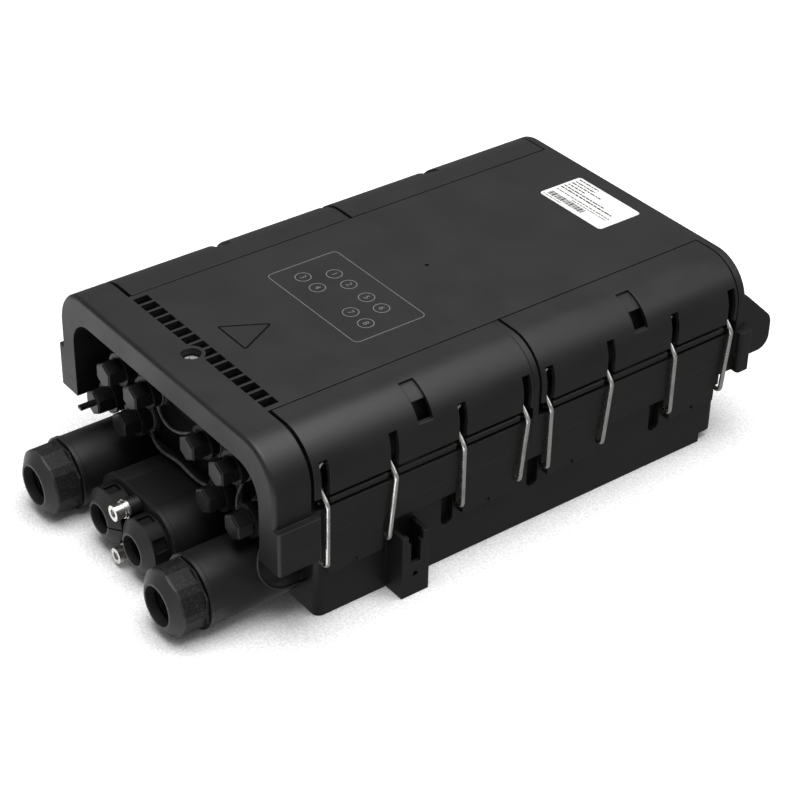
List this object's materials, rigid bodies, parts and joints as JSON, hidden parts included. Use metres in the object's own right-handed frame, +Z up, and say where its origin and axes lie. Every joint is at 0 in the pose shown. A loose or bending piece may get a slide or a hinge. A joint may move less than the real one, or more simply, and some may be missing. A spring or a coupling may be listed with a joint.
{
  "type": "fibre distribution hub box",
  "caption": "Black moulded fibre distribution hub box with a hooded port panel, capped ports, cable glands and a cover held by latch levers with wire bails.",
  "frame": {"origin": "on the base's bottom face, midway across the box and midway between the flange's two ends", "axes": "+X across the box, +Y along it away from the ports, +Z up through the cover"},
  "size_m": [0.2468, 0.4325, 0.1286],
  "materials": {
    "shell_plastic": "fine matt grain",
    "lever_plastic": "fine matt grain",
    "gland_plastic": "satin",
    "port_plastic": "satin",
    "steel": "bright stainless wire",
    "rubber": "smooth",
    "label_film": "printed white film",
    "tray_plastic": "moulded",
    "module_plastic": "moulded"
  },
  "bodies": {
    "box": {"adapter_1": "port_plastic", "adapter_2": "port_plastic", "adapter_3": "port_plastic", "adapter_4": "port_plastic", "adapter_5": "port_plastic", "adapter_6": "port_plastic", "adapter_7": "port_plastic", "adapter_8": "port_plastic", "adapter_nuts": "port_plastic", "base_shell": "shell_plastic", "cable_collar_left": "gland_plastic", "cable_collar_right": "gland_plastic", "clamp_flat_washers": "steel", "clamp_screws": "steel", "clamp_spring_washers": "steel", "cover_screw": "steel", "cover_shell": "shell_plastic", "gland_seal_left": "rubber", "gland_seal_right": "rubber", "hinge_rod_left_front": "steel", "hinge_rod_left_rear": "steel", "hinge_rod_right_front": "steel", "hinge_rod_right_rear": "steel", "label_plate": "label_film", "port_panel": "shell_plastic", "port_seals": "rubber", "rim_seal": "rubber", "splice_tray_lower": "tray_plastic", "splice_tray_upper": "tray_plastic", "splitter_module": "module_plastic", "strap_1": "rubber", "strap_2": "rubber", "strap_3": "rubber", "strap_4": "rubber", "strap_5": "rubber", "tether_loop": "rubber", "tray_bracket": "tray_plastic", "tray_pins": "steel"},
    "lever_right_front": {"latch_lever_right_front": "lever_plastic"},
    "bail_right_1": {"bail_right_1": "steel"},
    "bail_right_2": {"bail_right_2": "steel"},
    "lever_right_rear": {"latch_lever_right_rear": "lever_plastic"},
    "bail_right_3": {"bail_right_3": "steel"},
    "bail_right_4": {"bail_right_4": "steel"},
    "gland_nut_right": {"gland_nut_right": "gland_plastic"},
    "lever_left_front": {"latch_lever_left_front": "lever_plastic"},
    "bail_left_1": {"bail_left_1": "steel"},
    "bail_left_2": {"bail_left_2": "steel"},
    "lever_left_rear": {"latch_lever_left_rear": "lever_plastic"},
    "bail_left_3": {"bail_left_3": "steel"},
    "bail_left_4": {"bail_left_4": "steel"},
    "gland_nut_left": {"gland_nut_left": "gland_plastic"},
    "port_cap_1": {"port_cap_1": "port_plastic"},
    "port_cap_2": {"port_cap_2": "port_plastic"},
    "port_cap_3": {"port_cap_3": "port_plastic"},
    "port_cap_4": {"port_cap_4": "port_plastic"},
    "port_cap_5": {"port_cap_5": "port_plastic"},
    "port_cap_6": {"port_cap_6": "port_plastic"},
    "port_cap_7": {"port_cap_7": "port_plastic"},
    "port_cap_8": {"port_cap_8": "port_plastic"}
  },
  "joints": [
    {"name": "lever_right_front_open", "type": "hinge", "parent": "box", "child": "lever_right_front", "pos_m": [0.1115, -0.07465, 0.0847], "axis": [0, 1, 0], "range_deg": [0, 85]},
    {"name": "bail_right_1_swing", "type": "hinge", "parent": "lever_right_front", "child": "bail_right_1", "pos_m": [0.1075, -0.12145, 0.108], "axis": [0, -1, 0], "range_deg": [0, 85]},
    {"name": "bail_right_2_swing", "type": "hinge", "parent": "lever_right_front", "child": "bail_right_2", "pos_m": [0.1075, -0.02505, 0.108], "axis": [0, -1, 0], "range_deg": [0, 85]},
    {"name": "lever_right_rear_open", "type": "hinge", "parent": "box", "child": "lever_right_rear", "pos_m": [0.1115, 0.08885, 0.0847], "axis": [0, 1, 0], "range_deg": [0, 85]},
    {"name": "bail_right_3_swing", "type": "hinge", "parent": "lever_right_rear", "child": "bail_right_3", "pos_m": [0.1075, 0.04025, 0.108], "axis": [0, -1, 0], "range_deg": [0, 85]},
    {"name": "bail_right_4_swing", "type": "hinge", "parent": "lever_right_rear", "child": "bail_right_4", "pos_m": [0.1075, 0.13945, 0.108], "axis": [0, -1, 0], "range_deg": [0, 85]},
    {"name": "gland_nut_right_turn", "type": "hinge", "parent": "box", "child": "gland_nut_right", "pos_m": [0.07, -0.219, 0.0233], "axis": [0, -1, 0], "continuous": true},
    {"name": "lever_left_front_open", "type": "hinge", "parent": "box", "child": "lever_left_front", "pos_m": [-0.1115, -0.07465, 0.0847], "axis": [0, -1, 0], "range_deg": [0, 85]},
    {"name": "bail_left_1_swing", "type": "hinge", "parent": "lever_left_front", "child": "bail_left_1", "pos_m": [-0.1075, -0.12145, 0.108], "axis": [0, 1, 0], "range_deg": [0, 85]},
    {"name": "bail_left_2_swing", "type": "hinge", "parent": "lever_left_front", "child": "bail_left_2", "pos_m": [-0.1075, -0.02505, 0.108], "axis": [0, 1, 0], "range_deg": [0, 85]},
    {"name": "lever_left_rear_open", "type": "hinge", "parent": "box", "child": "lever_left_rear", "pos_m": [-0.1115, 0.08885, 0.0847], "axis": [0, -1, 0], "range_deg": [0, 85]},
    {"name": "bail_left_3_swing", "type": "hinge", "parent": "lever_left_rear", "child": "bail_left_3", "pos_m": [-0.1075, 0.04025, 0.108], "axis": [0, 1, 0], "range_deg": [0, 85]},
    {"name": "bail_left_4_swing", "type": "hinge", "parent": "lever_left_rear", "child": "bail_left_4", "pos_m": [-0.1075, 0.13945, 0.108], "axis": [0, 1, 0], "range_deg": [0, 85]},
    {"name": "gland_nut_left_turn", "type": "hinge", "parent": "box", "child": "gland_nut_left", "pos_m": [-0.07, -0.219, 0.0233], "axis": [0, -1, 0], "continuous": true},
    {"name": "port_cap_1_turn", "type": "hinge", "parent": "box", "child": "port_cap_1", "pos_m": [-0.061, -0.175, 0.0895], "axis": [0, -1, 0], "continuous": true},
    {"name": "port_cap_2_turn", "type": "hinge", "parent": "box", "child": "port_cap_2", "pos_m": [-0.031, -0.175, 0.0895], "axis": [0, -1, 0], "continuous": true},
    {"name": "port_cap_3_turn", "type": "hinge", "parent": "box", "child": "port_cap_3", "pos_m": [-0.076, -0.175, 0.0615], "axis": [0, -1, 0], "continuous": true},
    {"name": "port_cap_4_turn", "type": "hinge", "parent": "box", "child": "port_cap_4", "pos_m": [-0.046, -0.175, 0.0615], "axis": [0, -1, 0], "continuous": true},
    {"name": "port_cap_5_turn", "type": "hinge", "parent": "box", "child": "port_cap_5", "pos_m": [0.031, -0.175, 0.0895], "axis": [0, -1, 0], "continuous": true},
    {"name": "port_cap_6_turn", "type": "hinge", "parent": "box", "child": "port_cap_6", "pos_m": [0.061, -0.175, 0.0895], "axis": [0, -1, 0], "continuous": true},
    {"name": "port_cap_7_turn", "type": "hinge", "parent": "box", "child": "port_cap_7", "pos_m": [0.046, -0.175, 0.0615], "axis": [0, -1, 0], "continuous": true},
    {"name": "port_cap_8_turn", "type": "hinge", "parent": "box", "child": "port_cap_8", "pos_m": [0.076, -0.175, 0.0615], "axis": [0, -1, 0], "continuous": true}
  ],
  "couplings": [
    {"joint": "bail_right_1_swing", "follows": "lever_right_front_open", "ratio": 1},
    {"joint": "bail_right_2_swing", "follows": "lever_right_front_open", "ratio": 1},
    {"joint": "bail_right_3_swing", "follows": "lever_right_rear_open", "ratio": 1},
    {"joint": "bail_right_4_swing", "follows": "lever_right_rear_open", "ratio": 1},
    {"joint": "bail_left_1_swing", "follows": "lever_left_front_open", "ratio": 1},
    {"joint": "bail_left_2_swing", "follows": "lever_left_front_open", "ratio": 1},
    {"joint": "bail_left_3_swing", "follows": "lever_left_rear_open", "ratio": 1},
    {"joint": "bail_left_4_swing", "follows": "lever_left_rear_open", "ratio": 1}
  ]
}
